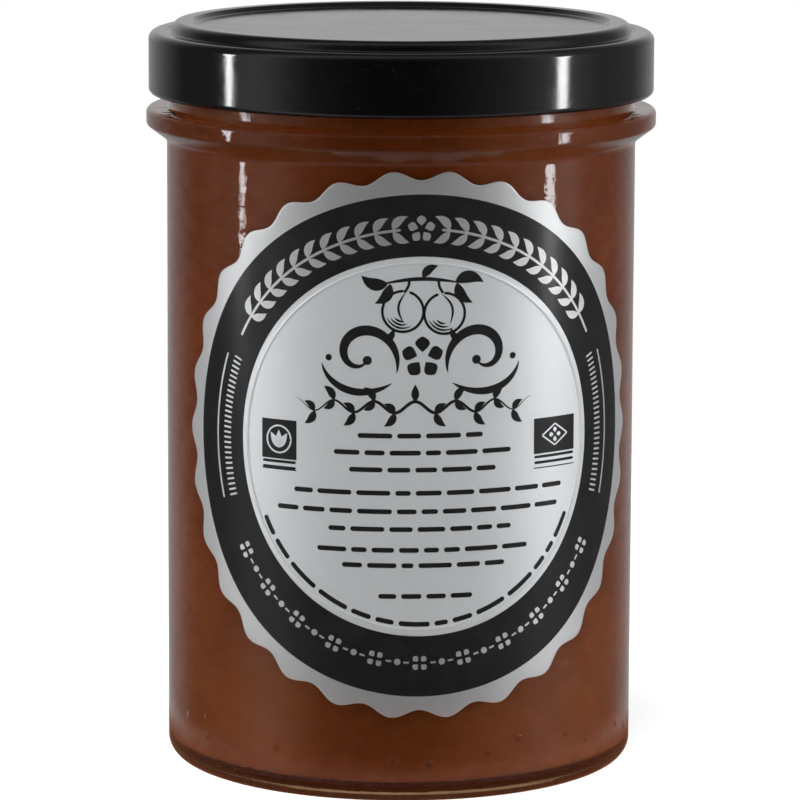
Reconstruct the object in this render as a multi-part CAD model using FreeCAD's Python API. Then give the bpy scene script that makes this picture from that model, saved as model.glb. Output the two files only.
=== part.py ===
"""A straight glass jar of apricot jam with a twist-off lid and a wavy-edged round label.

Millimetres, +Z up. The origin is the centre of the ring that the jar stands on, and the
label faces -Y. Each piece of the real thing is one solid: the glass, the jam that fills it,
the pressed metal lid, the sealing compound in the lid's channel, and the label.
"""

import FreeCAD
import Part
import math
import os

# ---------------------------------------------------------------- glass jar
BODY_RADIUS = 30.9          # outside of the straight wall
BODY_HEIGHT = 86.9          # standing ring to the top of the flange
BODY_WALL = 2.5             # glass thickness of the straight wall
HEEL_RADIUS = 3.4           # outer rounding from the wall to the standing ring
RING_WIDTH = 1.5            # flat land of the standing ring
PUSH_UP = 1.1               # rise of the bottom at the axis
PUSH_UP_FLAT = 14.0         # radius of the level middle of the push-up
PUSH_UP_SHOULDER = 1.8      # width of the steep rise just inside the standing ring
FLOOR_THICKNESS = 1.8       # glass between the push-up and the jam
FLOOR_FALL = 0.7            # floor's fall from its middle to the foot of the wall
INNER_HEEL_RADIUS = 2.5     # rounding between the floor and the wall, inside
FLANGE_REACH = 2.7          # flange beyond the straight wall
FLANGE_BAND = 2.1           # height of the flange's upright band
FLANGE_UNDERCUT = 2.0       # height of the slope under the flange
FLANGE_ROUNDING = 0.6
FLANGE_ROOT_ROUNDING = 1.2
NECK_SETBACK = 0.5          # finish in from the straight wall
NECK_ROOT_ROUNDING = 0.7
FINISH_HEIGHT = 10.25       # flange top to the sealing land
FINISH_WALL = 3.1           # glass thickness of the finish
RIM_OUTER_ROUNDING = 1.6
RIM_INNER_ROUNDING = 0.4

# ---------------------------------------------------------------- jam
JAM_CLEARANCE = 0.1         # skin of air that keeps jam and glass two solids
FILL_DROP = 6.1             # sealing land down to the jam

# ---------------------------------------------------------------- lid
SHEET = 0.3                 # lacquered tinplate
LID_GAP = 1.9               # flange top to the lid's lower edge
SKIRT_ROOM = 2.55           # finish to the inside of the skirt
COMPOUND_DEPTH = 0.85       # sealing compound between the land and the channel
PANEL_SETBACK = 0.4         # edge of the centre panel in from the bore of the finish
BEAD_HEIGHT = 0.6           # bead's crest above the panel
BEAD_INSET = 0.7            # bead's crest out from the edge of the panel
BEAD_LAND = 2.3             # width of the bead's crest before rounding
BEAD_FLARE = 0.4            # how far the bead's outer wall leans out
GROOVE_DROP = 1.55          # crest down to the groove at the foot of the bead
GROOVE_WIDTH = 0.8          # groove to the ledge beside it
SHOULDER_DROP = 1.3         # crest down to the shoulder
SHOULDER_ROUNDING = 1.3
PRESS_ROUNDING = 0.5        # the press tool's small roundings
CREST_OUTER_ROUNDING = 1.0
CURL_WIDTH = 1.5            # rolled edge at the foot of the skirt
CURL_ROUNDING = 0.72
LUG_COUNT = 4
LUG_CLEARANCE = 0.25        # lug to the finish
LUG_THICKNESS = 1.1
LUG_ROUNDING = 0.35
LUG_TURN = 20.0             # first lug, degrees round from +X

# ---------------------------------------------------------------- label
LABEL_THICKNESS = 0.12
LABEL_TOP_MARGIN = 0.7      # foot of the slope under the flange down to the label's highest tips
LABEL_BOTTOM_MARGIN = 7.9   # top of the heel up to the label's lowest tips
SCALLOP_COUNT = 30
SCALLOP_SWING = 0.6         # tips out, and hollows in, from the mean outline
SPANS_PER_SCALLOP = 4       # outline curves in one scallop

# ---------------------------------------------------------------- what follows from these
FINISH_RADIUS = BODY_RADIUS - NECK_SETBACK
FLANGE_RADIUS = BODY_RADIUS + FLANGE_REACH
BORE_RADIUS = FINISH_RADIUS - FINISH_WALL
CAVITY_RADIUS = BODY_RADIUS - BODY_WALL
WALL_TOP = BODY_HEIGHT - FLANGE_BAND - FLANGE_UNDERCUT
LAND_HEIGHT = BODY_HEIGHT + FINISH_HEIGHT
JAM_LEVEL = LAND_HEIGHT - FILL_DROP
CREST_HEIGHT = LAND_HEIGHT + COMPOUND_DEPTH + SHEET
PANEL_HEIGHT = CREST_HEIGHT - BEAD_HEIGHT
PANEL_RADIUS = BORE_RADIUS - PANEL_SETBACK
CREST_INNER_RADIUS = PANEL_RADIUS + BEAD_INSET
CREST_OUTER_RADIUS = CREST_INNER_RADIUS + BEAD_LAND
GROOVE_RADIUS = CREST_OUTER_RADIUS + BEAD_FLARE
SKIRT_RADIUS = FINISH_RADIUS + SKIRT_ROOM + SHEET
CURL_RADIUS = SKIRT_RADIUS - CURL_WIDTH
LID_FOOT = BODY_HEIGHT + LID_GAP

AXIS = FreeCAD.Vector(0, 0, 1)
ORIGIN = FreeCAD.Vector(0, 0, 0)
TURN = 2 * math.pi
FRONT = 0.75 * TURN         # where -Y lies on a cylinder's own angle


def at(radius, height):
    """A point of a turned profile, in the XZ plane."""
    return FreeCAD.Vector(radius, 0, height)


def rounded_path(corners):
    """Edges through (radius, height, rounding) corners: straight runs joined by tangent arcs.

    A corner with no rounding stays sharp, and no arc takes over half of the shorter run beside it.
    """
    points = [at(radius, height) for radius, height, _ in corners]
    edges = []
    start = points[0]
    for i in range(1, len(points) - 1):
        corner = points[i]
        if corners[i][2] == 0:
            edges.append(Part.makeLine(start, corner))
            start = corner
            continue
        back = points[i - 1] - corner
        ahead = points[i + 1] - corner
        half_angle = back.getAngle(ahead) / 2
        reach = min(corners[i][2] / math.tan(half_angle), back.Length / 2, ahead.Length / 2)
        back.normalize()
        ahead.normalize()
        bisector = back + ahead
        bisector.normalize()
        radius = reach * math.tan(half_angle)
        enter = corner + back * reach
        middle = corner + bisector * (radius / math.sin(half_angle) - radius)
        leave = corner + ahead * reach
        edges.append(Part.makeLine(start, enter))
        edges.append(Part.Arc(enter, middle, leave).toShape())
        start = leave
    edges.append(Part.makeLine(start, points[-1]))
    return edges


def turned(edges):
    """The solid that a closed profile sweeps in one turn about the jar's axis."""
    return Part.Face(Part.Wire(edges)).revolve(ORIGIN, AXIS, 360)


def turned_to_axis(corners):
    """The solid turned from a path of corners whose two ends lie on the axis."""
    edges = rounded_path(corners)
    edges.append(Part.makeLine(edges[-1].lastVertex().Point, edges[0].firstVertex().Point))
    return turned(edges)


def cavity_corners(gap):
    """The jar's inside, drawn in by a gap: domed floor, heel, wall and bore up to the flange."""
    floor = PUSH_UP + FLOOR_THICKNESS + gap
    wall = CAVITY_RADIUS - gap
    return [
        (0, floor, 0),
        (PUSH_UP_FLAT, floor, 30),
        (wall, floor - FLOOR_FALL, INNER_HEEL_RADIUS - gap),
        (wall, WALL_TOP, 6),
        (BORE_RADIUS - gap, BODY_HEIGHT, 6),
    ]


def make_glass_jar():
    """Pushed-up bottom, standing ring, straight wall, flange, and the finish that the lid closes on."""
    ring_inner = BODY_RADIUS - HEEL_RADIUS - RING_WIDTH
    outside = [
        (0, PUSH_UP, 0),
        (PUSH_UP_FLAT, PUSH_UP, 40),
        (ring_inner - PUSH_UP_SHOULDER, PUSH_UP / 2, 3),
        (ring_inner, 0, 0.8),
        (BODY_RADIUS, 0, HEEL_RADIUS),
        (BODY_RADIUS, WALL_TOP, FLANGE_ROOT_ROUNDING),
        (FLANGE_RADIUS, WALL_TOP + FLANGE_UNDERCUT, FLANGE_ROUNDING),
        (FLANGE_RADIUS, BODY_HEIGHT, FLANGE_ROUNDING),
        (FINISH_RADIUS, BODY_HEIGHT, NECK_ROOT_ROUNDING),
        (FINISH_RADIUS, LAND_HEIGHT, RIM_OUTER_ROUNDING),
        (BORE_RADIUS, LAND_HEIGHT, RIM_INNER_ROUNDING),
    ]
    return turned_to_axis(outside + cavity_corners(0)[::-1])


def make_jam():
    """Jam that fills the jar up to its level in the finish, off the glass by the clearance alone."""
    top = [(BORE_RADIUS - JAM_CLEARANCE, JAM_LEVEL, 0), (0, JAM_LEVEL, 0)]
    return turned_to_axis(cavity_corners(JAM_CLEARANCE) + top)


def bead_corners():
    """The raised bead, from above: edge of the panel, crest's two corners, groove at its foot."""
    return [
        (PANEL_RADIUS, PANEL_HEIGHT, PRESS_ROUNDING),
        (CREST_INNER_RADIUS, CREST_HEIGHT, PRESS_ROUNDING),
        (CREST_OUTER_RADIUS, CREST_HEIGHT, CREST_OUTER_ROUNDING),
        (GROOVE_RADIUS, CREST_HEIGHT - GROOVE_DROP, PRESS_ROUNDING),
    ]


def lid_corners():
    """The lid's outer face from the middle of the panel to the end of the rolled edge."""
    shoulder = CREST_HEIGHT - SHOULDER_DROP
    curl_top = LID_FOOT + CURL_WIDTH
    return [
        (0, PANEL_HEIGHT, 0),
        *bead_corners(),
        (GROOVE_RADIUS + GROOVE_WIDTH, shoulder, PRESS_ROUNDING),
        (SKIRT_RADIUS, shoulder, SHOULDER_ROUNDING),
        (SKIRT_RADIUS, LID_FOOT, CURL_ROUNDING),
        (CURL_RADIUS, LID_FOOT, CURL_ROUNDING),
        (CURL_RADIUS, curl_top, CURL_ROUNDING),
        (CURL_RADIUS + CURL_WIDTH / 2, curl_top, 0),
    ]


def make_lugs():
    """Stretches of the rolled edge pressed in to a straight chord, just clear of the finish."""
    foot = LID_FOOT + SHEET / 2
    root = CURL_RADIUS + SHEET / 2
    chord = FINISH_RADIUS + LUG_CLEARANCE
    disc = Part.makeCylinder(root, LUG_THICKNESS, at(0, foot))
    beyond_chord = Part.makeBox(root, 2 * root, LUG_THICKNESS, FreeCAD.Vector(chord, -root, foot))
    segment = disc.common(beyond_chord).Solids[0]
    lips = [edge for edge in segment.Edges if edge.BoundBox.XMax < chord + LUG_CLEARANCE / 2
            and edge.Length > LUG_THICKNESS * 2]
    lug = segment.makeFillet(LUG_ROUNDING, lips)
    lugs = []
    for i in range(LUG_COUNT):
        turned_lug = lug.copy()
        turned_lug.rotate(ORIGIN, AXIS, LUG_TURN + 360 * i / LUG_COUNT)
        lugs.append(turned_lug)
    return lugs


def make_lid():
    """Pressed sheet of even thickness, rolled in at its foot, with its lugs."""
    outer_face = Part.Wire(rounded_path(lid_corners()))
    section = outer_face.makeOffset2D(-SHEET, join=2, fill=True, openResult=True)
    sheet = section.revolve(ORIGIN, AXIS, 360)
    return sheet.fuse(make_lugs()).removeSplitter().Solids[0]


def make_gasket():
    """Sealing compound: what fills the channel under the bead, down to the sealing land."""
    bead = bead_corners()
    panel_end = (bead[0][0] - BEAD_LAND, bead[0][1], 0)
    groove_end = (bead[-1][0] + BEAD_LAND, bead[-1][1], 0)
    over = Part.Wire(rounded_path([panel_end, *bead, groove_end]))
    under = over.makeOffset2D(-SHEET, join=2, openResult=True)
    ends = [vertex.Point for vertex in (under.OrderedVertexes[0], under.OrderedVertexes[-1])]
    well = [FreeCAD.Vector(end.x, 0, BODY_HEIGHT) for end in ends]
    closing = Part.makePolygon([ends[1], well[1], well[0], ends[0]])
    below_sheet = turned(under.Edges + closing.Edges)
    channel = Part.makeCylinder(GROOVE_RADIUS, FINISH_HEIGHT, at(0, LAND_HEIGHT))
    channel = channel.cut(Part.makeCylinder(BORE_RADIUS, FINISH_HEIGHT, at(0, LAND_HEIGHT)))
    return below_sheet.common(channel).Solids[0]


def label_outline(wall, centre_height, mean_radius):
    """The label's edge on the cylindrical wall, as curves in the wall's own angle and height.

    At a clock angle the edge lies mean_radius from the centre, measured along the wall, less a
    cosine with one hollow for each scallop, so that a hollow is uppermost.
    """

    def edge_point(clock):
        radius = mean_radius - SCALLOP_SWING * math.cos(SCALLOP_COUNT * clock)
        return FreeCAD.Base.Vector2d(
            FRONT + radius * math.sin(clock) / wall.Radius,
            centre_height + radius * math.cos(clock),
        )

    curves = SCALLOP_COUNT * SPANS_PER_SCALLOP
    step = TURN / curves
    edges = []
    for i in range(curves):
        span = Part.Geom2d.BSplineCurve2d()
        span.interpolate([edge_point(step * i), edge_point(step * (i + 0.5)), edge_point(step * (i + 1))])
        edges.append(span.toShape(wall))
    return edges


def make_label():
    """A wavy-edged disc wrapped on the straight wall, its centre facing -Y."""
    top_tip = WALL_TOP - LABEL_TOP_MARGIN
    bottom_tip = HEEL_RADIUS + LABEL_BOTTOM_MARGIN
    wall = Part.Cylinder()
    wall.Radius = BODY_RADIUS
    outline = label_outline(wall, (top_tip + bottom_tip) / 2, (top_tip - bottom_tip) / 2 - SCALLOP_SWING)
    face = Part.Face(wall, Part.Wire(outline))
    return face.makeOffsetShape(LABEL_THICKNESS, 1e-4, fill=True)


def main():
    """Build each piece and write it to parts/ under its node's name."""
    pieces = {
        "glass_jar": make_glass_jar(),
        "jam": make_jam(),
        "lid": make_lid(),
        "gasket": make_gasket(),
        "label": make_label(),
    }
    os.makedirs("parts", exist_ok=True)
    for name, shape in pieces.items():
        shape.exportStep("parts/" + name + ".step")
        print(f"{name}: {shape.Volume / 1000:.2f} cm3")


main()
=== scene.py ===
"""Looks of a straight glass jar of apricot jam with a black twist-off lid and a round silver label.

The jar's axis is +Z and the label faces -Y. Shapes are worked out in millimetres, and become
metres as each mesh is made. Every surface is a profile turned about the axis, or a flat grid of
points wrapped on the jar's wall.
"""

import logging
import math
from collections.abc import Iterable
from dataclasses import dataclass, field
from enum import Enum
from functools import partial, reduce

import bpy
import numpy as np
from mathutils import Matrix, Vector


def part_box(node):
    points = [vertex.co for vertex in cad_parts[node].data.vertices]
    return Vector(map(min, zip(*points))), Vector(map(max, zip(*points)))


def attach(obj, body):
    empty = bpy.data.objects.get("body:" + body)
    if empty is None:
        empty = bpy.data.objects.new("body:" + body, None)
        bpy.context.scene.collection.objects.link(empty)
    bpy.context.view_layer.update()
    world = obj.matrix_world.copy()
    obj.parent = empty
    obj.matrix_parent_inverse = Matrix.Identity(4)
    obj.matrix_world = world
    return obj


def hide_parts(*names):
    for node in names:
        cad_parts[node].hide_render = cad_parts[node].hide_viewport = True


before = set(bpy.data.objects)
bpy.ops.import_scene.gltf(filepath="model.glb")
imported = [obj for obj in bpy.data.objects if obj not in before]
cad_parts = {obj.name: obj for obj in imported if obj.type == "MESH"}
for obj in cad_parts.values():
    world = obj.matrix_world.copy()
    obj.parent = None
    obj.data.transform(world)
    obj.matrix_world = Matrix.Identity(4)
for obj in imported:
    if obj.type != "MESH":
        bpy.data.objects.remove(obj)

LOG = logging.getLogger("jar")
MM = 0.001
TURN = 2 * math.pi
FLAT_SPAN = 80.0  # millimetres across the print's UV map
RIDGE_RADIUS = 23.65  # of the fine ridge round the label's printed middle

Corner = tuple[float, float, float]
Point = tuple[float, float]
Colour = tuple[float, float, float]
Socket = bpy.types.NodeSocket
Layer = tuple[Socket, float]


def placed(name: str, data: bpy.types.ID) -> bpy.types.Object:
    """Show a mesh, lamp or camera as a new object of the scene."""
    shown = bpy.data.objects.new(name, data)
    bpy.context.scene.collection.objects.link(shown)
    return shown


# ---------------------------------------------------------------- surfaces
@dataclass
class Surface:
    """Points in millimetres and the faces between them, with each point's place on a flat print."""

    points: np.ndarray
    quads: np.ndarray
    triangles: np.ndarray = field(default_factory=lambda: np.zeros((0, 3), int))
    flat: np.ndarray | None = None

    @staticmethod
    def joined(parts: Iterable["Surface"]) -> "Surface":
        """One surface out of several, each part's corner numbers moved past the parts before it."""
        parts = list(parts)
        starts = np.cumsum([0] + [len(part.points) for part in parts[:-1]])
        flat = None
        if all(part.flat is not None for part in parts):
            flat = np.concatenate([part.flat for part in parts])
        return Surface(
            np.concatenate([part.points for part in parts]),
            np.concatenate([part.quads + start for part, start in zip(parts, starts)]),
            np.concatenate([part.triangles + start for part, start in zip(parts, starts)]),
            flat,
        )

    def made(self, name: str, finish: bpy.types.Material, crease: float = 50.0) -> bpy.types.Object:
        """Make the mesh object, smooth but for edges sharper than an angle.

        Args:
            name: The object's name.
            finish: Its material.
            crease: Angle in degrees past which an edge between two faces stays sharp.

        Returns:
            The object, at the origin, with a UV map named "print" where the surface has flat places.
        """
        mesh = bpy.data.meshes.new(name)
        faces = self.quads.tolist() + self.triangles.tolist()
        mesh.from_pydata((self.points * MM).tolist(), [], faces)
        mesh.shade_smooth()
        mesh.set_sharp_from_angle(angle=math.radians(crease))
        if self.flat is not None:
            corners = np.zeros(len(mesh.loops), np.int32)
            mesh.loops.foreach_get("vertex_index", corners)
            mesh.uv_layers.new(name="print").data.foreach_set("uv", self.flat[corners].ravel())
        mesh.materials.append(finish)
        mesh.validate()
        return placed(name, mesh)


def run_points(start: np.ndarray, end: np.ndarray, step: float) -> np.ndarray:
    """Points along a straight run, with one just inside each end.

    The two near the ends keep the shading of the arcs beside the run off the run.

    Args:
        start: First point.
        end: Last point.
        step: Longest distance between points.

    Returns:
        The points, both ends among them.
    """
    length = float(np.linalg.norm(end - start))
    guard = min(0.08 / max(length, 1e-6), 0.25)
    shares = np.linspace(0, 1, max(2, math.ceil(length / step) + 1))
    shares = np.unique(np.concatenate([shares, [guard, 1 - guard]]))
    return start + shares[:, None] * (end - start)


def rounded_path(corners: list[Corner], step: float = 2.0, turn_step: float = 9.0) -> np.ndarray:
    """Points along a path whose corners are rounded off by arcs tangent to both runs.

    An arc leaves its runs at rounding / tan(half the corner's angle) from the corner, at most half of
    the shorter run, and turns evenly about the point where the normals of its two ends meet.

    Args:
        corners: Radius, height and rounding of each corner; a rounding of 0 stays sharp.
        step: Longest distance between points on a run.
        turn_step: Largest turn between points on an arc, in degrees.

    Returns:
        Array of radius and height, one row for each point.
    """
    places = np.array([corner[:2] for corner in corners], float)
    pieces = []
    start = places[0]
    for i in range(1, len(corners) - 1):
        back = places[i - 1] - places[i]
        ahead = places[i + 1] - places[i]
        back_length, ahead_length = np.linalg.norm(back), np.linalg.norm(ahead)
        back, ahead = back / back_length, ahead / ahead_length
        half = math.acos(float(np.clip(back @ ahead, -1, 1))) / 2
        reach = min(corners[i][2] / math.tan(half), back_length / 2, ahead_length / 2)
        enter = places[i] + back * reach
        pieces.append(run_points(start, enter, step))
        if reach > 0:
            middle = places[i] + (back + ahead) * (reach / (1 + back @ ahead))
            side = math.copysign(1, back[1] * ahead[0] - back[0] * ahead[1])
            count = max(3, math.ceil((180 - math.degrees(2 * half)) / turn_step) + 1)
            turns = side * np.linspace(0, math.pi - 2 * half, count)
            arm = enter - middle
            arc = np.stack([arm[0] * np.cos(turns) - arm[1] * np.sin(turns),
                            arm[0] * np.sin(turns) + arm[1] * np.cos(turns)], axis=1)
            pieces.append(middle + arc)
        start = places[i] + ahead * reach
    pieces.append(run_points(start, places[-1], step))
    path = np.concatenate(pieces)
    apart = np.linalg.norm(np.diff(path, axis=0), axis=1) > 1e-4
    return path[np.concatenate([[True], apart])]


def set_in(path: np.ndarray, distance: float) -> np.ndarray:
    """A path moved sideways: each point goes along the path's normal, to its right."""
    along = np.gradient(path, axis=0)
    along /= np.linalg.norm(along, axis=1, keepdims=True)
    return path + distance * np.stack([along[:, 1], -along[:, 0]], axis=1)


def unevenness(angle: np.ndarray, height: np.ndarray) -> np.ndarray:
    """How far blown glass swells at an angle and height, from -1 to 1.

    It is a sum of five sines, which turn 2 to 13 times round the jar and lean as they climb.
    """
    terms = ((0.34, 2, 0.050, 0.4), (0.26, 3, -0.083, 1.9), (0.18, 5, 0.121, 4.0),
             (0.13, 8, -0.174, 2.7), (0.09, 13, 0.236, 5.2))
    return sum(part * np.sin(turns * angle + lean * height + start) for part, turns, lean, start in terms)


def turned(profile: np.ndarray, count: int, swell: np.ndarray | float = 0.0) -> Surface:
    """A profile turned about the axis, closed by a pole at each end.

    A point at radius r and height z becomes (r cos a, r sin a, z) at each angle a, where r first
    grows by the swell times the unevenness there.

    Args:
        profile: Rows of radius and height. The first and last lie on the axis, and the outside
            of the solid is on the right of the path.
        count: Number of steps in one turn.
        swell: Largest swell in millimetres, one for all points or one for each.

    Returns:
        The closed surface, its faces outwards.
    """
    angle = TURN * np.arange(count) / count
    radius, height = profile[1:-1, 0], profile[1:-1, 1]
    share = np.broadcast_to(swell, len(profile))[1:-1] * np.clip(radius / 20, 0, 1)
    reach = radius[:, None] + share[:, None] * unevenness(angle[None, :], height[:, None])
    rings = np.stack([reach * np.cos(angle), reach * np.sin(angle),
                      np.broadcast_to(height[:, None], reach.shape)], axis=2)
    poles = np.array([[0, 0, profile[0, 1]], [0, 0, profile[-1, 1]]])
    points = np.concatenate([rings.reshape(-1, 3), poles])
    rows = len(radius)
    here = np.arange(count)
    after = (here + 1) % count
    row = np.arange(rows - 1)[:, None] * count
    quads = np.stack([row + here, row + after, row + count + after, row + count + here], axis=2)
    first = np.stack([np.full(count, rows * count), after, here], axis=1)
    top = (rows - 1) * count
    last = np.stack([top + here, top + after, np.full(count, rows * count + 1)], axis=1)
    return Surface(points, quads.reshape(-1, 4), np.concatenate([first, last]))


@dataclass(frozen=True)
class Wall:
    """The straight wall that the label is wrapped on, flat places measured from the label's middle."""

    radius: float
    middle: float

    def wrap(self, flat: np.ndarray, off: np.ndarray | float) -> np.ndarray:
        """Wrap flat places on the wall, at a distance off it.

        A place (u, v) goes to the angle u / radius round from the front and the height v above the
        label's middle: x = R sin, y = -R cos, with R the wall's radius plus the distance off it.
        """
        angle = flat[..., 0] / self.radius
        reach = self.radius + off
        height = np.broadcast_to(self.middle + flat[..., 1], angle.shape)
        return np.stack([reach * np.sin(angle), -reach * np.cos(angle), height], axis=-1)

    def plate(self, grid: np.ndarray, under: float, over: np.ndarray | float, ring: bool = False,
              hub: Point | None = None) -> Surface:
        """A thin closed plate over a grid of flat places, wrapped on the wall.

        Args:
            grid: Rows by columns of flat places, (rows, columns, 2).
            under: Distance of the plate's back off the wall.
            over: Distance of its face off the wall, one for all or one for each place.
            ring: Whether the last row joins the first.
            hub: Flat place that closes a ring's first column with a fan of triangles.

        Returns:
            The closed surface, its faces outwards, with the flat places as UV places.
        """
        over = np.broadcast_to(over, grid.shape[:2])
        along = np.diff(grid, axis=0)[:, :-1]
        across = np.diff(grid, axis=1)[:-1]
        area = (along[..., 0] * across[..., 1] - along[..., 1] * across[..., 0]).sum()
        rows, columns = grid.shape[:2]
        size = rows * columns
        number = np.arange(size).reshape(rows, columns)
        if area < 0:
            number = number[::-1]
        if ring:
            number = np.concatenate([number, number[:1]])
        face = np.stack([number[:-1, :-1], number[1:, :-1], number[1:, 1:], number[:-1, 1:]], axis=-1)
        quads = [face.reshape(-1, 4), face[..., ::-1].reshape(-1, 4) + size]
        edges = [number[::-1, -1]]
        if hub is None:
            edges.append(number[:, 0])
        if not ring:
            edges += [number[-1], number[0, ::-1]]
        for edge in edges:
            quads.append(np.stack([edge[:-1], edge[:-1] + size, edge[1:] + size, edge[1:]], axis=1))
        flat = np.concatenate([grid.reshape(-1, 2)] * 2)
        off = np.concatenate([over.ravel(), np.full(size, under)])
        triangles = np.zeros((0, 3), int)
        if hub is not None:
            flat = np.concatenate([flat, [hub, hub]])
            off = np.concatenate([off, [over[0, 0], under]])
            inner = number[:, 0]
            centre = np.full(len(inner) - 1, 2 * size)
            front = np.stack([centre, inner[:-1], inner[1:]], axis=1)
            back = np.stack([centre + 1, inner[1:] + size, inner[:-1] + size], axis=1)
            triangles = np.concatenate([front, back])
            triangles = triangles[:, ::-1] if self._faces_in(flat, triangles[0]) else triangles
        return Surface(self.wrap(flat, off), np.concatenate(quads), triangles, flat / FLAT_SPAN + 0.5)

    @staticmethod
    def _faces_in(flat: np.ndarray, triangle: np.ndarray) -> bool:
        """Whether a face triangle runs clockwise on the flat."""
        a, b, c = flat[triangle]
        return bool((b - a)[0] * (c - a)[1] - (b - a)[1] * (c - a)[0] < 0)


# ---------------------------------------------------------------- strokes of the print
class Ends(Enum):
    """How a stroke's width runs from one end to the other."""

    ROUND = "round"
    SWASH = "swash"
    LEAF = "leaf"
    PETAL = "petal"


def half_widths(share: np.ndarray, length: float, width: float, ends: Ends) -> np.ndarray:
    """Half the width of a stroke along its length.

    Round ends follow a semicircle of the stroke's width. A swash swells as a power of a half sine,
    a leaf does so with its widest place before the middle, and a petal with it past the middle.

    Args:
        share: Place along the stroke, 0 to 1.
        length: The stroke's length.
        width: Its greatest width.
        ends: The way its width runs.

    Returns:
        Half the width at each place, never quite 0.
    """
    half = width / 2
    if ends is Ends.ROUND:
        room = np.minimum(share, 1 - share) * length
        run = np.where(room < half, np.sqrt(np.clip(half**2 - (half - room) ** 2, 0, None)), half)
    elif ends is Ends.SWASH:
        run = half * np.sin(math.pi * share) ** 0.75
    elif ends is Ends.LEAF:
        run = half * np.sin(math.pi * share**0.8)
    else:
        run = half * np.sin(math.pi * share**1.25) ** 0.8
    return np.maximum(run, 0.02)


def stroke(path: np.ndarray, width: float, ends: Ends = Ends.ROUND, count: int = 40,
           across: int = 4) -> np.ndarray:
    """A grid of flat places that covers a stroke of a pen.

    The path is sampled at distances that follow half a cosine, close together at both ends, and each
    sample is spread along the path's normal to half the width on either side.

    Args:
        path: Flat places along the stroke.
        width: Greatest width.
        ends: The way the width runs.
        count: Samples along it.
        across: Faces across it.

    Returns:
        Grid of shape (count, across + 1, 2).
    """
    steps = np.linalg.norm(np.diff(path, axis=0), axis=1)
    distance = np.concatenate([[0], np.cumsum(steps)])
    share = (1 - np.cos(math.pi * np.linspace(0, 1, count))) / 2
    line = np.stack([np.interp(share * distance[-1], distance, path[:, k]) for k in (0, 1)], axis=1)
    along = np.gradient(line, axis=0)
    along /= np.linalg.norm(along, axis=1, keepdims=True) + 1e-12
    normal = np.stack([-along[:, 1], along[:, 0]], axis=1)
    half = half_widths(share, float(distance[-1]), width, ends)
    spread = half[:, None] * np.linspace(-1, 1, across + 1)
    return line[:, None, :] + normal[:, None, :] * spread[:, :, None]


def straight(start: Point, end: Point, count: int = 24) -> np.ndarray:
    """Evenly spaced places on a straight line."""
    return np.linspace(start, end, count)


def dot(middle: Point, radius: float) -> np.ndarray:
    """A disc, drawn as a straight stroke as long as it is wide, with round ends."""
    left, right = (middle[0] - radius, middle[1]), (middle[0] + radius, middle[1])
    return stroke(straight(left, right), 2 * radius, count=20)


def curl(middle: Point, radii: Point, angles: Point, fall: float = 1.6, count: int = 120) -> np.ndarray:
    """A spiral: the radius falls from the first to the second by a power of what is left of the turn.

    Args:
        middle: The spiral's middle.
        radii: Radius at its start and at its end.
        angles: Angle at its start and at its end, in degrees.
        fall: The power.
        count: Number of places.

    Returns:
        Flat places along it.
    """
    share = np.linspace(0, 1, count)
    radius = radii[1] + (radii[0] - radii[1]) * (1 - share) ** fall
    angle = np.radians(angles[0] + (angles[1] - angles[0]) * share)
    return np.stack([middle[0] + radius * np.cos(angle), middle[1] + radius * np.sin(angle)], axis=1)


def bow(start: Point, heading: float, length: float, bend: float, count: int = 24) -> np.ndarray:
    """A run that leaves its start at a heading in degrees and bulges to its left.

    The bulge is half a sine of the length, bend / 2 times the length high.
    """
    share = np.linspace(0, 1, count)
    ahead, aside = share * length, bend * length / 2 * np.sin(math.pi * share)
    c, s = math.cos(math.radians(heading)), math.sin(math.radians(heading))
    return np.stack([start[0] + ahead * c - aside * s, start[1] + ahead * s + aside * c], axis=1)


def leaf(start: Point, heading: float, length: float, width: float, bend: float = 0.3) -> np.ndarray:
    """A curved leaf on its stalk's end, drawn as one stroke that swells."""
    return stroke(bow(start, heading, length, bend), width, Ends.LEAF, 22)


def blossom(middle: Point, reach: float, width: float, petals: int = 5,
            first: float = 90.0) -> list[np.ndarray]:
    """Petals set evenly round a middle, each a stroke that is widest near its tip.

    Args:
        middle: The blossom's middle.
        reach: From the middle to the tips.
        width: Width of one petal.
        petals: How many there are.
        first: Heading of the first, in degrees.

    Returns:
        One grid for each petal.
    """
    headings = np.radians(first + 360 * np.arange(petals) / petals)
    ways = np.stack([np.cos(headings), np.sin(headings)], axis=1) * reach
    return [stroke(straight(tuple(middle + 0.26 * way), tuple(middle + way)), width, Ends.PETAL, 20)
            for way in ways]


def mirrored(grid: np.ndarray, middle: float) -> np.ndarray:
    """A grid's mirror image about an upright line."""
    return np.stack([2 * middle - grid[..., 0], grid[..., 1]], axis=-1)


def along_ring(grid: np.ndarray, radius: float, upright: bool = True) -> np.ndarray:
    """Bend a straight band of flat places round a ring.

    A place (a, b) goes to the angle a / radius from the top and the radius plus b; below, the band
    reads from the left as well, so it starts from the bottom and b points to the middle.
    """
    angle = grid[..., 0] / radius
    if upright:
        reach = radius + grid[..., 1]
        return np.stack([reach * np.sin(angle), reach * np.cos(angle)], axis=-1)
    reach = radius - grid[..., 1]
    return np.stack([reach * np.sin(angle), -reach * np.cos(angle)], axis=-1)


def field_grid(low: Point, high: Point, step: float = 0.4) -> np.ndarray:
    """A filled rectangle between two corners."""
    across = np.linspace(low[0], high[0], max(2, round((high[0] - low[0]) / step)))
    up = np.linspace(low[1], high[1], max(2, round((high[1] - low[1]) / step)))
    return np.stack(np.meshgrid(across, up, indexing="ij"), axis=-1)


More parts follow.
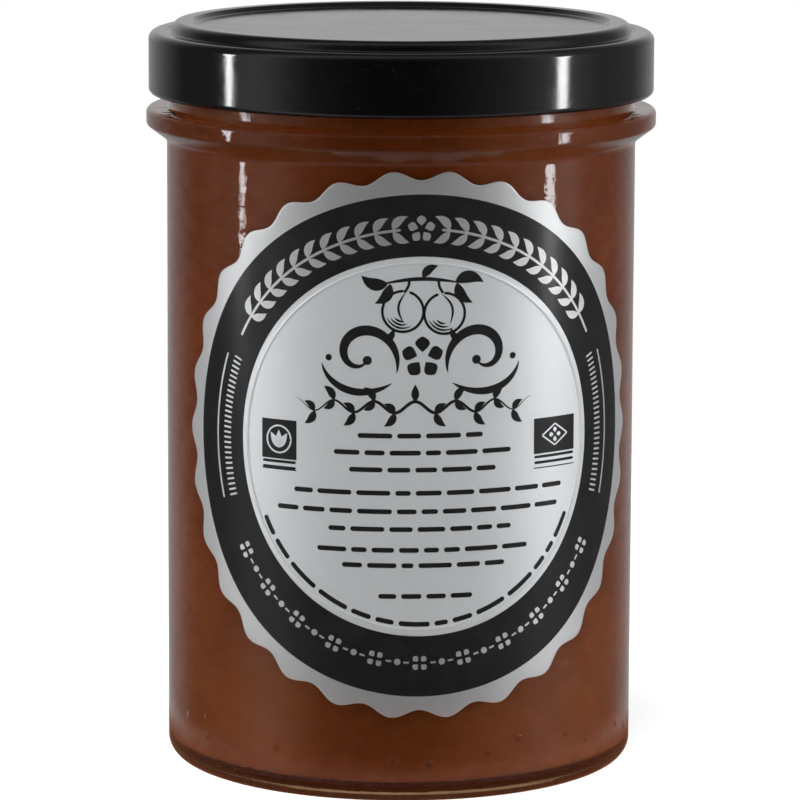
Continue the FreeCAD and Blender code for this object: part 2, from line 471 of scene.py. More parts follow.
# ---------------------------------------------------------------- node trees
class Tree:
    """A node tree being filled in."""

    def __init__(self, tree: bpy.types.NodeTree) -> None:
        """Start from an empty tree."""
        self.tree = tree
        tree.nodes.clear()

    def node(self, kind: str, inputs: dict | None = None, **settings) -> bpy.types.Node:
        """Add a node, set its settings, and set or link its inputs.

        Args:
            kind: The node's type, without its leading "ShaderNode".
            inputs: Value or socket for each input, by name or number.
            **settings: The node's own settings.

        Returns:
            The node.
        """
        node = self.tree.nodes.new("ShaderNode" + kind)
        for name, value in settings.items():
            setattr(node, name, value)
        for name, value in (inputs or {}).items():
            if isinstance(value, Socket):
                self.tree.links.new(value, node.inputs[name])
            else:
                node.inputs[name].default_value = value
        return node

    def maths(self, operation: str, *values: Socket | float) -> Socket:
        """The result of a Math node."""
        return self.node("Math", dict(enumerate(values)), operation=operation).outputs[0]

    def total(self, *values: Socket | float) -> Socket:
        """The sum of several values."""
        return reduce(partial(self.maths, "ADD"), values)

    def times(self, *values: Socket | float) -> Socket:
        """The product of several values."""
        return reduce(partial(self.maths, "MULTIPLY"), values)

    def ramp(self, value: Socket, low: float, high: float, start: float = 0.0,
             end: float = 1.0) -> Socket:
        """A value's smooth way from start to end as it goes from low to high."""
        inputs = {"Value": value, "From Min": low, "From Max": high, "To Min": start, "To Max": end}
        return self.node("MapRange", inputs, interpolation_type="SMOOTHSTEP").outputs[0]

    def mixed(self, share: Socket, first: Colour | Socket, second: Colour | Socket) -> Socket:
        """A colour between two others."""
        sides = {0: share}
        for number, colour in ((6, first), (7, second)):
            sides[number] = colour if isinstance(colour, Socket) else (*colour, 1)
        return self.node("Mix", sides, data_type="RGBA").outputs[2]

    def peak(self, value: Socket, place: float, width: float) -> Socket:
        """A smooth hump, 1 where a value is at a place and 0 at a width from it."""
        distance = self.maths("ABSOLUTE", self.maths("SUBTRACT", value, place))
        return self.ramp(distance, 0.0, width, 1.0, 0.0)

    def group(self, tree: bpy.types.NodeTree, inputs: dict | None = None) -> bpy.types.Node:
        """Place a node group with its own values."""
        return self.node("Group", inputs, node_tree=tree)

    def raised(self, *layers: Layer) -> Socket:
        """The normal of a surface raised by patterns, each with its height in millimetres."""
        height = self.total(*(self.times(pattern, rise) for pattern, rise in layers))
        return self.node("Bump", {"Height": height, "Strength": 1.0, "Distance": MM}).outputs[0]

    def between(self, share: Socket, first: bpy.types.Node, second: bpy.types.Node) -> bpy.types.Node:
        """A shader between two others."""
        return self.node("MixShader", {0: share, 1: first.outputs[0], 2: second.outputs[0]})

    def end(self, shader: bpy.types.Node) -> None:
        """Feed a shader to the material's output."""
        self.node("OutputMaterial", {"Surface": shader.outputs[0]})


def new_group(name: str, inputs: dict[str, float],
              outputs: tuple[str, ...]) -> tuple[bpy.types.NodeTree, Tree]:
    """An empty node group with named number sockets.

    Args:
        name: The group's name.
        inputs: Each input's name and its usual value.
        outputs: Names of the outputs.

    Returns:
        The group, and the tree to fill in.
    """
    group = bpy.data.node_groups.new(name, "ShaderNodeTree")
    new_socket = partial(group.interface.new_socket, socket_type="NodeSocketFloat")
    for title, value in inputs.items():
        new_socket(name=title, in_out="INPUT").default_value = value
    for title in outputs:
        new_socket(name=title, in_out="OUTPUT")
    return group, Tree(group)


@dataclass(frozen=True)
class Grain:
    """Fractal noise: its size and height in millimetres, and how far it is squeezed upwards."""

    size: float
    squeeze: float = 1.0
    detail: float = 2.0
    height: float = 0.0


@dataclass
class Effects:
    """Node groups that several finishes share."""

    place: bpy.types.NodeTree = field(init=False)
    grain: bpy.types.NodeTree = field(init=False)

    def __post_init__(self) -> None:
        """Build each group once."""
        self.place = self._build_place()
        self.grain = self._build_grain()

    def noise(self, tree: Tree, grain: Grain) -> tuple[Socket, Layer]:
        """Place a grain in a tree.

        Args:
            tree: The tree.
            grain: The grain's numbers.

        Returns:
            Its value, about 0 to 1, and its relief: the value centred on 0, with its height.
        """
        values = {"Size": grain.size, "Squeeze": grain.squeeze, "Detail": grain.detail}
        results = tree.group(self.grain, values).outputs
        return results["Value"], (results["Centred"], grain.height)

    @staticmethod
    def _closed(group: bpy.types.NodeTree, results: Iterable[Socket]) -> bpy.types.NodeTree:
        """A group with its outputs fed in order."""
        ends = group.nodes.new("NodeGroupOutput")
        for socket, result in zip(ends.inputs, results):
            group.links.new(result, socket)
        return group

    def _build_place(self) -> bpy.types.NodeTree:
        """Angle round the axis in radians, and height and distance from the axis in millimetres."""
        group, tree = new_group("place_on_jar", {}, ("Angle", "Height", "Radius"))
        x, y, z = tree.node("SeparateXYZ", {0: tree.node("TexCoord").outputs["Object"]}).outputs
        square = tree.total(tree.times(x, x), tree.times(y, y))
        radius = tree.times(tree.maths("SQRT", square), 1 / MM)
        return self._closed(group, (tree.maths("ARCTAN2", y, x), tree.times(z, 1 / MM), radius))

    def _build_grain(self) -> bpy.types.NodeTree:
        """Fractal noise of a given size in millimetres, squeezed upwards by a factor."""
        usual = {"Size": 1.0, "Squeeze": 1.0, "Detail": 2.0}
        group, tree = new_group("grain", usual, ("Value", "Centred"))
        given = group.nodes.new("NodeGroupInput").outputs
        per_metre = tree.maths("DIVIDE", 1 / MM, given["Size"])
        upwards = tree.times(per_metre, given["Squeeze"])
        scales = tree.node("CombineXYZ", {0: per_metre, 1: per_metre, 2: upwards}).outputs[0]
        coordinates = tree.node("TexCoord").outputs["Object"]
        where = tree.node("VectorMath", {0: coordinates, 1: scales}, operation="MULTIPLY").outputs[0]
        value = tree.node("TexNoise", {"Vector": where, "Scale": 1.0, "Detail": given["Detail"]}).outputs[0]
        return self._closed(group, (value, tree.maths("SUBTRACT", value, 0.5)))


# ---------------------------------------------------------------- finishes
def new_material(name: str) -> tuple[bpy.types.Material, Tree]:
    """An empty material and its node tree."""
    material = bpy.data.materials.new(name)
    material.use_nodes = True
    return material, Tree(material.node_tree)


@dataclass(frozen=True)
class ClearGlass:
    """Clear flint glass, pressed and blown: slow waves, mould seams, a stippled heel and raised dots."""

    tint: Colour = (0.985, 0.99, 0.985)
    roughness: float = 0.012
    roughest: float = 0.15
    ior: float = 1.52
    body_radius: float = 30.9
    waves: Grain = Grain(11.0, 0.45, 1.0, 0.07)
    chill: Grain = Grain(2.4, 1.6, 4.0, 0.040)
    pits: Grain = Grain(0.6, 1.4, 1.0, 0.008)
    undercut_height: float = 83.8
    undercut_reach: float = 1.7
    neck: Point = (86.5, 88.5)
    neck_share: float = 0.8
    seam_height: float = 0.035
    seam_reach: float = 0.28
    plate_line: Point = (1.15, 0.30)
    plate_share: float = 0.45
    dash_height: float = 0.035
    dash_turns: float = 150.0
    dash_pitch: float = 0.75
    dash_band: Point = (2.0, 1.3)
    dot_height: float = 0.30
    # Darker glass at the dots: painted shade standing in for the dark look that refraction gives them.
    dot_painted_shade: Colour = (0.45, 0.34, 0.34)
    dot_pitch: float = 4.2
    dot_band: Point = (6.4, 3.4)

    def build(self, effects: Effects) -> bpy.types.Material:
        """Build the material: rougher on the slope under the flange and on the finish above it.

        Args:
            effects: The shared node groups.

        Returns:
            Refracting glass that lets lamps through to what is behind it.
        """
        material, tree = new_material("clear_glass")
        place = tree.group(effects.place)
        angle, height = place.outputs["Angle"], place.outputs["Height"]
        dots = self._dots(tree, angle, height)
        undercut = tree.peak(height, self.undercut_height, self.undercut_reach)
        rougher = tree.maths("MAXIMUM", undercut, tree.ramp(height, *self.neck, 0.0, self.neck_share))
        relief = tree.raised(
            *(effects.noise(tree, grain)[1] for grain in (self.waves, self.chill, self.pits)),
            (self._seams(tree, angle, height), self.seam_height),
            (self._dashes(tree, angle, height), self.dash_height),
            (dots, self.dot_height),
        )
        glass = tree.node("BsdfPrincipled", {
            # the dots are darkened in colour: painted shade
            "Base Color": tree.mixed(dots, self.tint, self.dot_painted_shade),
            "Roughness": tree.ramp(rougher, 0.0, 1.0, self.roughness, self.roughest),
            "IOR": self.ior, "Transmission Weight": 1.0, "Normal": relief})
        clear = tree.node("BsdfTransparent", {"Color": (*self.tint, 1)})
        tree.end(tree.between(tree.node("LightPath").outputs["Is Shadow Ray"], glass, clear))
        return material

    def _seams(self, tree: Tree, angle: Socket, height: Socket) -> Socket:
        """Two upright mould seams at the sides, and the line where the heel meets the bottom plate."""
        across = tree.times(tree.maths("SINE", angle), self.body_radius)
        upright = tree.peak(across, 0.0, self.seam_reach)
        ring = tree.times(tree.peak(height, *self.plate_line), self.plate_share)
        return tree.maths("MAXIMUM", upright, ring)

    def _dashes(self, tree: Tree, angle: Socket, height: Socket) -> Socket:
        """Rows of short raised dashes at the sides of the heel: products of two sines, in a band."""
        around = tree.maths("SINE", tree.times(angle, self.dash_turns))
        upwards = tree.maths("SINE", tree.times(height, TURN / self.dash_pitch))
        dashes = tree.ramp(tree.times(around, upwards), 0.05, 0.6)
        sides = tree.ramp(tree.maths("ABSOLUTE", tree.maths("COSINE", angle)), 0.62, 0.80)
        return tree.times(dashes, sides, tree.peak(height, *self.dash_band))

    def _dots(self, tree: Tree, angle: Socket, height: Socket) -> Socket:
        """Raised dots just above the heel, in some of the cells of a ragged grid."""
        around = tree.times(angle, self.body_radius / self.dot_pitch)
        upwards = tree.maths("DIVIDE", height, self.dot_pitch)
        where = tree.node("CombineXYZ", {0: around, 1: upwards}).outputs[0]
        ragged = {"Vector": where, "Scale": 1.0, "Randomness": 0.9}
        cells = tree.node("TexVoronoi", ragged, voronoi_dimensions="2D").outputs
        dots = tree.ramp(cells["Distance"], 0.04, 0.16, 1.0, 0.0)
        chosen = tree.ramp(tree.node("SeparateColor", {0: cells["Color"]}).outputs[0], 0.42, 0.45)
        band = tree.maths("GREATER_THAN", tree.peak(height, *self.dot_band), 0.25)
        return tree.times(dots, chosen, band)


@dataclass(frozen=True)
class ApricotJam:
    """Translucent brown-orange jam with softened fruit in it."""

    syrup: Colour = (0.218, 0.056, 0.0095)
    fruit: Colour = (0.265, 0.073, 0.0125)
    deep: Colour = (0.182, 0.044, 0.0078)
    # These colours multiply the jam's colour by height: painted light that makes the foot paler, and painted
    # shade that darkens it towards the top.
    bottom: Colour = (1.55, 1.85, 2.2)
    lower: Colour = (1.18, 1.30, 1.60)
    painted_top_shade: Colour = (0.84, 0.74, 0.74)
    foot: Point = (2.2, 4.6)
    body: Point = (4.0, 84.0)
    drift: Grain = Grain(14.0, 1.3, 3.0)
    pulp: Grain = Grain(3.2, 1.6, 4.0, 0.02)
    specks: Grain = Grain(0.7)

    def build(self, effects: Effects) -> bpy.types.Material:
        """Build the material: drifts of fruit, pulp and specks, times painted light and shade by height.

        The painted factor goes smoothly from the bottom's to the lower one over the foot, and from the
        lower to the top one over the body: painted light at the foot, painted shade towards the top.
        """
        material, tree = new_material("apricot_jam")
        drift, _ = effects.noise(tree, self.drift)
        pulp, relief = effects.noise(tree, self.pulp)
        specks, _ = effects.noise(tree, self.specks)
        colour = tree.mixed(tree.ramp(drift, 0.35, 0.70), self.deep, self.syrup)
        colour = tree.mixed(tree.ramp(pulp, 0.54, 0.80, 0.0, 0.75), colour, self.fruit)
        colour = tree.mixed(tree.ramp(specks, 0.66, 0.80, 0.0, 0.35), colour, self.fruit)
        height = tree.group(effects.place).outputs["Height"]
        # painted light and shade: the colour is scaled paler at the foot and darker towards the top
        shade = tree.mixed(tree.ramp(height, *self.body), self.lower, self.painted_top_shade)
        shade = tree.mixed(tree.ramp(height, *self.foot), self.bottom, shade)
        colour = tree.node("VectorMath", {0: colour, 1: shade}, operation="MULTIPLY").outputs[0]
        tree.end(tree.node("BsdfPrincipled", {
            "Base Color": colour, "Roughness": tree.ramp(pulp, 0.3, 0.8, 0.22, 0.40), "IOR": 1.42,
            "Specular IOR Level": 0.15, "Subsurface Weight": 1.0, "Subsurface Radius": (1.0, 0.30, 0.12),
            "Subsurface Scale": 14.0 * MM, "Normal": tree.raised(relief)}))
        return material


@dataclass(frozen=True)
class BlackLacquer:
    """Glossy black stoving lacquer on tinplate, with the faint orange peel of a rolled-on coat."""

    colour: Colour = (0.0016, 0.0016, 0.0018)
    worn: Colour = (0.020, 0.020, 0.022)
    roughness: Point = (0.07, 0.12)
    ior: float = 1.8
    flow: Grain = Grain(9.0, height=0.035)
    peel: Grain = Grain(1.1, height=0.0050)
    dust: Grain = Grain(0.16, detail=1.0, height=0.0030)

    def build(self, effects: Effects) -> bpy.types.Material:
        """Build the material: peel and fine grain in its height, slow changes in its gloss."""
        material, tree = new_material("black_lacquer")
        flow, slow = effects.noise(tree, self.flow)
        _, peel = effects.noise(tree, self.peel)
        _, dust = effects.noise(tree, self.dust)
        tree.end(tree.node("BsdfPrincipled", {
            "Base Color": tree.mixed(tree.ramp(dust[0], 0.12, 0.30), self.colour, self.worn),
            "Roughness": tree.ramp(flow, 0.3, 0.7, *self.roughness), "IOR": self.ior,
            "Normal": tree.raised(slow, peel, dust)}))
        return material


@dataclass(frozen=True)
class SealingCompound:
    """Off-white plastisol that seals the lid on the glass."""

    colour: Colour = (0.62, 0.60, 0.55)
    shade: Colour = (0.50, 0.48, 0.43)
    flow: Grain = Grain(1.8, detail=3.0, height=0.04)

    def build(self, effects: Effects) -> bpy.types.Material:
        """Build the material: satin, faintly mottled, with a flowed skin."""
        material, tree = new_material("sealing_compound")
        flow, relief = effects.noise(tree, self.flow)
        tree.end(tree.node("BsdfPrincipled", {
            "Base Color": tree.mixed(tree.ramp(flow, 0.35, 0.65), self.shade, self.colour),
            "Roughness": tree.ramp(flow, 0.3, 0.7, 0.42, 0.55), "Subsurface Weight": 0.15,
            "Subsurface Scale": 0.8 * MM, "Normal": tree.raised(relief)}))
        return material


@dataclass(frozen=True)
class SilverFoil:
    """Metallised label film: bare and bright round the edge, under a matt varnish in the middle."""

    silver: Colour = (0.95, 0.955, 0.96)
    varnished: Colour = (0.80, 0.825, 0.84)
    speckle: Colour = (0.50, 0.51, 0.53)
    varnish_radius: float = 24.5
    varnish_edge: float = 0.3
    metallic: Point = (0.64, 0.89)
    roughness: Point = (0.48, 0.47)
    sheet: Grain = Grain(13.0, detail=1.0, height=0.10)
    fine: Grain = Grain(0.22, height=0.0008)

    def build(self, effects: Effects) -> bpy.types.Material:
        """Build the material. A print UV map says how far a place is from the label's middle."""
        material, tree = new_material("silver_label")
        ends = {0: tree.node("UVMap", uv_map="print").outputs[0], 1: (0.5, 0.5, 0.0)}
        from_middle = tree.node("VectorMath", ends, operation="DISTANCE").outputs["Value"]
        radius = tree.times(from_middle, FLAT_SPAN)
        edge = (self.varnish_radius - self.varnish_edge, self.varnish_radius + self.varnish_edge)
        bare = tree.ramp(radius, *edge)
        value, fine = effects.noise(tree, self.fine)
        _, sheet = effects.noise(tree, self.sheet)
        colour = tree.mixed(bare, self.varnished, self.silver)
        colour = tree.mixed(tree.ramp(value, 0.35, 0.75, 0.0, 0.06), colour, self.speckle)
        gloss = tree.total(tree.ramp(bare, 0.0, 1.0, *self.roughness), tree.times(fine[0], 0.04))
        ridge = (tree.peak(radius, RIDGE_RADIUS, 0.22), 0.05)
        tree.end(tree.node("BsdfPrincipled", {
            "Base Color": colour, "Metallic": tree.ramp(bare, 0.0, 1.0, *self.metallic),
            "Roughness": gloss, "Normal": tree.raised(sheet, fine, ridge)}))
        return material


@dataclass(frozen=True)
class BlackInk:
    """Black ink printed on the foil, satin, with a few pinholes and a slightly uneven film."""

    colour: Colour = (0.0085, 0.0085, 0.009)
    thin: Colour = (0.012, 0.012, 0.0125)
    film: Grain = Grain(2.4, detail=3.0, height=0.006)
    fine: Grain = Grain(0.18, detail=1.0, height=0.002)

    def build(self, effects: Effects) -> bpy.types.Material:
        """Build the material."""
        material, tree = new_material("black_print")
        film, uneven = effects.noise(tree, self.film)
        value, fine = effects.noise(tree, self.fine)
        tree.end(tree.node("BsdfPrincipled", {
            "Base Color": tree.mixed(tree.ramp(film, 0.35, 0.75), self.colour, self.thin),
            "Roughness": tree.ramp(value, 0.3, 0.7, 0.20, 0.25), "IOR": 1.5,
            "Normal": tree.raised(uneven, fine)}))
        return material


# ---------------------------------------------------------------- the jar
@dataclass
class Vessel:
    """The glass jar, and the inside that the jam fills. Millimetres."""

    body_radius: float = 30.9
    body_height: float = 86.9
    body_wall: float = 2.5
    heel_radius: float = 3.4
    ring_width: float = 1.5
    push_up: float = 1.1
    push_up_flat: float = 14.0
    push_up_shoulder: float = 1.8
    floor_thickness: float = 1.8
    floor_fall: float = 0.7
    inner_heel_radius: float = 2.5
    flange_reach: float = 2.7
    flange_band: float = 2.1
    flange_undercut: float = 2.0
    finish_radius: float = 30.4
    finish_height: float = 10.25
    finish_wall: float = 3.1
    fill_drop: float = 6.1
    outer_swell: float = 0.035
    inner_swell: float = 0.11
    jam_bite: float = 0.15
    steps: int = 360

    @property
    def wall_top(self) -> float:
        """Height where the straight wall meets the slope under the flange."""
        return self.body_height - self.flange_band - self.flange_undercut

    @property
    def land(self) -> float:
        """Height of the rim that the lid seals on."""
        return self.body_height + self.finish_height

    @property
    def bore(self) -> float:
        """Radius inside the finish."""
        return self.finish_radius - self.finish_wall

    def cavity(self, bite: float) -> list[Corner]:
        """Corners of the jar's inside, grown into the glass by a bite, from the floor to the flange."""
        floor = self.push_up + self.floor_thickness - bite
        wall = self.body_radius - self.body_wall + bite
        return [(0, floor, 0), (self.push_up_flat, floor, 30),
                (wall, floor - self.floor_fall, self.inner_heel_radius + bite),
                (wall, self.wall_top, 6), (self.bore + bite, self.body_height, 6)]

    def outside(self) -> list[Corner]:
        """Corners of the jar's outside, from the middle of the pushed-up bottom to the bore's rim."""
        ring_inner = self.body_radius - self.heel_radius - self.ring_width
        flange = self.body_radius + self.flange_reach
        return [(0, self.push_up, 0), (self.push_up_flat, self.push_up, 40),
                (ring_inner - self.push_up_shoulder, self.push_up / 2, 3), (ring_inner, 0, 0.8),
                (self.body_radius, 0, self.heel_radius), (self.body_radius, self.wall_top, 1.2),
                (flange, self.wall_top + self.flange_undercut, 0.6), (flange, self.body_height, 0.6),
                (self.finish_radius, self.body_height, 0.7), (self.finish_radius, self.land, 1.6),
                (self.bore, self.land, 0.4)]

    def make_glass(self, finish: bpy.types.Material) -> bpy.types.Object:
        """The jar, one closed turned shape whose inside is more uneven than its outside."""
        outside = self.outside()
        path = rounded_path(outside + self.cavity(0)[::-1], step=2.2)
        split = int(np.argmax((path[:, 1] > self.land - 0.5) & (path[:, 0] < self.bore + 0.2)))
        swell = np.full(len(path), self.outer_swell)
        swell[split:] = self.inner_swell
        foot = path[:, 1] < 0.02
        swell[foot] = 0
        swell[:split][path[:split, 1] < self.push_up] *= 0.3
        piece = turned(path, self.steps, swell).made("glass_wall", finish)
        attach(piece, "root")
        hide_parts("glass_jar")
        return piece

    def make_jam(self, finish: bpy.types.Material) -> bpy.types.Object:
        """The jam, which reaches just into the glass, with a meniscus climbing the bore.

        The top's height rises towards the wall by an exponential of the distance from it, and
        ripples across by two sines.
        """
        level = self.land - self.fill_drop
        sides = rounded_path([*self.cavity(self.jam_bite), (self.bore + self.jam_bite, level, 0)], step=1.5)
        radius = np.linspace(self.bore + self.jam_bite, 0, 40)
        rise = 0.75 * np.exp((radius - self.bore) / 0.9) + 0.10 * np.sin(radius / 2.6) + 0.06 * np.sin(radius)
        top = np.stack([radius, level + rise * np.clip(radius / 3, 0, 1)], axis=1)
        path = np.concatenate([sides[:-1], top])
        piece = turned(path, self.steps, self.inner_swell).made("jam_fill", finish)
        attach(piece, "root")
        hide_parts("jam")
        return piece


@dataclass
class TwistOffLid:
    """The pressed lid: panel, raised bead over the compound, shoulder, skirt, rolled edge and lugs."""

    vessel: Vessel
    sheet: float = 0.3
    gap: float = 1.9
    skirt_radius: float = 33.25
    compound_depth: float = 0.85
    bead_height: float = 0.6
    bead_inset: float = 0.7
    bead_land: float = 2.3
    bead_flare: float = 0.4
    groove_drop: float = 1.55
    groove_width: float = 0.8
    shoulder_drop: float = 1.3
    curl_width: float = 1.5
    curl_rounding: float = 0.72
    lug_count: int = 4
    lug_clearance: float = 0.25
    lug_thickness: float = 1.1
    lug_rounding: float = 0.35
    lug_turn: float = 20.0
    steps: int = 336

    def corners(self) -> list[Corner]:
        """Corners of the outer face, from the middle of the panel to the end of the rolled edge."""
        crest = self.vessel.land + self.compound_depth + self.sheet
        panel_edge = self.vessel.bore - 0.4
        crest_in = panel_edge + self.bead_inset
        crest_out = crest_in + self.bead_land
        groove = crest_out + self.bead_flare
        shoulder = crest - self.shoulder_drop
        foot = self.vessel.body_height + self.gap
        curl_in = self.skirt_radius - self.curl_width
        return [(0, crest - self.bead_height, 0), (panel_edge, crest - self.bead_height, 0.5),
                (crest_in, crest, 0.5), (crest_out, crest, 1.0), (groove, crest - self.groove_drop, 0.5),
                (groove + self.groove_width, shoulder, 0.5), (self.skirt_radius, shoulder, 1.3),
                (self.skirt_radius, foot, self.curl_rounding), (curl_in, foot, self.curl_rounding),
                (curl_in, foot + self.curl_width, self.curl_rounding),
                (self.skirt_radius - self.curl_width / 2, foot + self.curl_width, 0)]

    def shell(self) -> Surface:
        """The sheet: its outer path and that path set in by the sheet's thickness, turned as one."""
        outer = rounded_path(self.corners(), step=1.5, turn_step=7.5)
        inner = set_in(outer, self.sheet)
        inner[0, 0] = 0
        return turned(np.concatenate([inner, outer[::-1]]), self.steps)

    def lug(self, heading: float) -> Surface:
        """A stretch of the rolled edge pressed in to a straight chord.

        Across the chord the lug reaches from the roll to the chord and back, between two heights
        whose edges are rounded as a quarter circle.

        Args:
            heading: Angle of the lug's middle round from +X, in degrees.

        Returns:
            A closed pad between the chord and the roll.
        """
        root = self.skirt_radius - self.curl_width + self.sheet / 2
        chord = self.vessel.finish_radius + self.lug_clearance
        low = self.vessel.body_height + self.gap + self.sheet / 2
        half_angle = math.acos(chord / root) * 0.98
        spread = np.linspace(-half_angle, half_angle, 25)
        lip = np.minimum(chord / np.cos(spread) + 0.02, root - 0.01)
        turn = np.linspace(-math.pi / 2, math.pi / 2, 9)
        rounding, half = self.lug_rounding, self.lug_thickness / 2
        inset = rounding * (1 - np.cos(turn))
        height = low + half + (half - rounding) * np.sign(turn) + rounding * np.sin(turn)
        share = np.concatenate([[1.0], inset / (root - chord), [1.0]])
        height = np.concatenate([[height[0]], height, [height[-1]]])
        reach = lip[:, None] + (root - lip)[:, None] * share[None, :]
        angle = math.radians(heading) + spread[:, None]
        points = np.stack([reach * np.cos(angle), reach * np.sin(angle),
                           np.broadcast_to(height[None, :], reach.shape)], axis=2)
        rows, columns = reach.shape
        number = np.arange(rows * columns).reshape(rows, columns)
        wrapped = np.concatenate([number, number[:, :1]], axis=1)
        quads = np.stack([wrapped[:-1, :-1], wrapped[:-1, 1:], wrapped[1:, 1:], wrapped[1:, :-1]], axis=-1)
        fan = np.arange(1, columns - 1)
        hub = np.zeros_like(fan)
        first = np.stack([number[0, hub], number[0, fan + 1], number[0, fan]], axis=1)
        last = np.stack([number[-1, hub], number[-1, fan], number[-1, fan + 1]], axis=1)
        return Surface(points.reshape(-1, 3), quads.reshape(-1, 4), np.concatenate([first, last]))

    def make(self, finish: bpy.types.Material) -> bpy.types.Object:
        """The lid with its lugs."""
        lugs = [self.lug(self.lug_turn + 360 * i / self.lug_count) for i in range(self.lug_count)]
        piece = Surface.joined([self.shell(), *lugs]).made("lid_shell", finish)
        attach(piece, "root")
        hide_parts("lid")
        return piece


# ---------------------------------------------------------------- the label
@dataclass
class RoundLabel:
    """The wavy-edged silver label and what is printed on it. Millimetres from the label's middle."""

    wall: Wall
    mean_radius: float = 34.8
    waves: int = 30
    swing: float = 0.6
    thickness: float = 0.12
    ink_thickness: float = 0.02
    band: Point = (24.5, 32.4)
    marks_radius: float = 28.0
    arc_radius: float = 29.12
    ticks: Point = (26.6, 27.9)
    title_middle: float = 0.2
    word_gap: float = 0.62
    word_height: float = 0.62
    seed: int = 4

    def film(self) -> Surface:
        """The film: rings of places that grow from the middle and end on the wavy edge.

        The edge's radius at a clock angle is the mean radius less the swing times the cosine of the
        angle times the number of waves. The last rings lie a tenth of a millimetre in and lower down
        to the wall, as a cut edge does, and a fine ridge stands round the printed middle.
        """
        clock = TURN * np.arange(self.waves * 20) / (self.waves * 20)
        runs = ((0.8, 23.2, 24), (23.4, 23.9, 6), (24.6, 33.4, 12))
        plain = np.concatenate([np.linspace(*run) for run in runs])
        edge = self.mean_radius - self.swing * np.cos(self.waves * clock)
        outer = np.stack([edge - 0.3, edge - 0.08, edge - 0.02, edge], axis=1)
        radius = np.concatenate([np.broadcast_to(plain, (len(clock), len(plain))), outer], axis=1)
        flat = np.stack([radius * np.sin(clock)[:, None], radius * np.cos(clock)[:, None]], axis=-1)
        over = np.full(radius.shape, self.thickness)
        over += 0.035 * np.exp(-(((radius - RIDGE_RADIUS) / 0.14) ** 2))
        over[:, -2] -= 0.02
        over[:, -1] -= 0.06
        return self.wall.plate(flat, -0.02, over, ring=True, hub=(0.0, 0.0))

    def band_ring(self) -> Surface:
        """The black band: a ring of places between its two radii."""
        clock = TURN * np.arange(720) / 720
        radius = np.linspace(*self.band, 21)
        flat = np.stack([np.outer(np.sin(clock), radius), np.outer(np.cos(clock), radius)], axis=-1)
        return self._printed(flat, ring=True)

    def _printed(self, grid: np.ndarray, layer: int = 0, ring: bool = False) -> Surface:
        """A field of print over the film, or over another layer of print."""
        under = self.thickness - 0.03 + layer * self.ink_thickness
        return self.wall.plate(grid, under, self.thickness + (layer + 1) * self.ink_thickness, ring=ring)

    def band_marks(self) -> list[np.ndarray]:
        """Silver marks on the band: laurel above, beads and blossoms below, arcs and ticks at the sides."""
        marks = [along_ring(petal, self.marks_radius) for petal in blossom((0, 0), 1.75, 1.15)]
        for side in (1, -1):
            marks += self._laurel(side)
            clock = np.radians(np.linspace(68.4, 106.6, 80))
            arc = self.arc_radius * np.stack([side * np.sin(clock), np.cos(clock)], axis=1)
            marks.append(stroke(arc, 0.28, count=80))
            for tick in np.radians(68.0 + 38.3 * np.arange(28) / 27):
                way = np.array([side * math.sin(tick), math.cos(tick)])
                ends = [tuple(radius * way) for radius in self.ticks]
                marks.append(stroke(straight(*ends, 6), 0.26, count=10, across=2))
        for number, place in enumerate(np.arange(-28.6, 28.7, 2.86)):
            if number % 2 == 0:
                beads = blossom((place, 0), 1.15, 0.8, petals=4, first=45.0)
            else:
                beads = [dot((place, 0), 0.42)]
                beads += [stroke(straight((place + side * 0.75, 0), (place + side * 1.5, 0)), 0.26, count=12)
                          for side in (1, -1)]
            marks += [along_ring(bead, self.marks_radius, upright=False) for bead in beads]
        return marks

    def _laurel(self, side: int) -> list[np.ndarray]:
        """One branch of laurel, from beside the top blossom down a side."""
        stem = stroke(straight((2.6 * side, 0), (30.2 * side, 0), 60), 0.34, count=80)
        branch = [stem]
        back = 180 if side > 0 else 0
        for place in 3.6 + 2.35 * np.arange(11):
            for over in (1, -1):
                lean = -38 if side * over > 0 else 38
                bend = 0.28 if side * over < 0 else -0.28
                branch.append(leaf((place * side, 0.12 * over), back + lean, 2.5, 1.05, bend))
        return [along_ring(grid, self.marks_radius) for grid in branch]

    def fruit_sprig(self) -> list[np.ndarray]:
        """Two apricots on a leafy twig, in outline with hatched shade."""
        sprig = []
        for middle, lean in (((-2.3, 17.5), 80.0), ((3.0, 17.2), 100.0)):
            size = 2.6
            sprig.append(stroke(curl(middle, (size, size), (lean + 8, lean + 352)), 0.34, count=90))
            c, s = math.cos(math.radians(lean)), math.sin(math.radians(lean))
            top = (middle[0] + size * c, middle[1] + size * s)
            crease = bow(top, lean + 186, size * 1.6, -0.42 if lean < 90 else 0.42)
            sprig.append(stroke(crease, 0.3, Ends.SWASH))
            for share, first, last in ((0.82, 200, 300), (0.66, 208, 290), (0.50, 216, 278)):
                hatch = curl(middle, (size * share,) * 2, (first, last), count=30)
                sprig.append(stroke(hatch, 0.26, Ends.SWASH))
        sprig.append(stroke(bow((-5.4, 20.9), 0.6, 10.8, 0.13), 0.5, Ends.SWASH))
        sprig.append(stroke(bow((-1.5, 21.5), -112, 1.7, 0.2), 0.34))
        sprig.append(stroke(bow((2.2, 21.5), -70, 1.8, -0.2), 0.34))
        for start, heading, length, width, bend in (
                ((-4.2, 21.1), 165, 3.5, 1.6, 0.35), ((-3.9, 21.0), -128, 3.2, 1.4, 0.35),
                ((0.2, 21.8), 38, 2.5, 1.1, 0.30), ((4.4, 21.3), -4, 3.7, 1.6, 0.35),
                ((4.6, 21.1), -52, 3.3, 1.4, -0.35)):
            sprig.append(leaf(start, heading, length, width, bend))
        return sprig

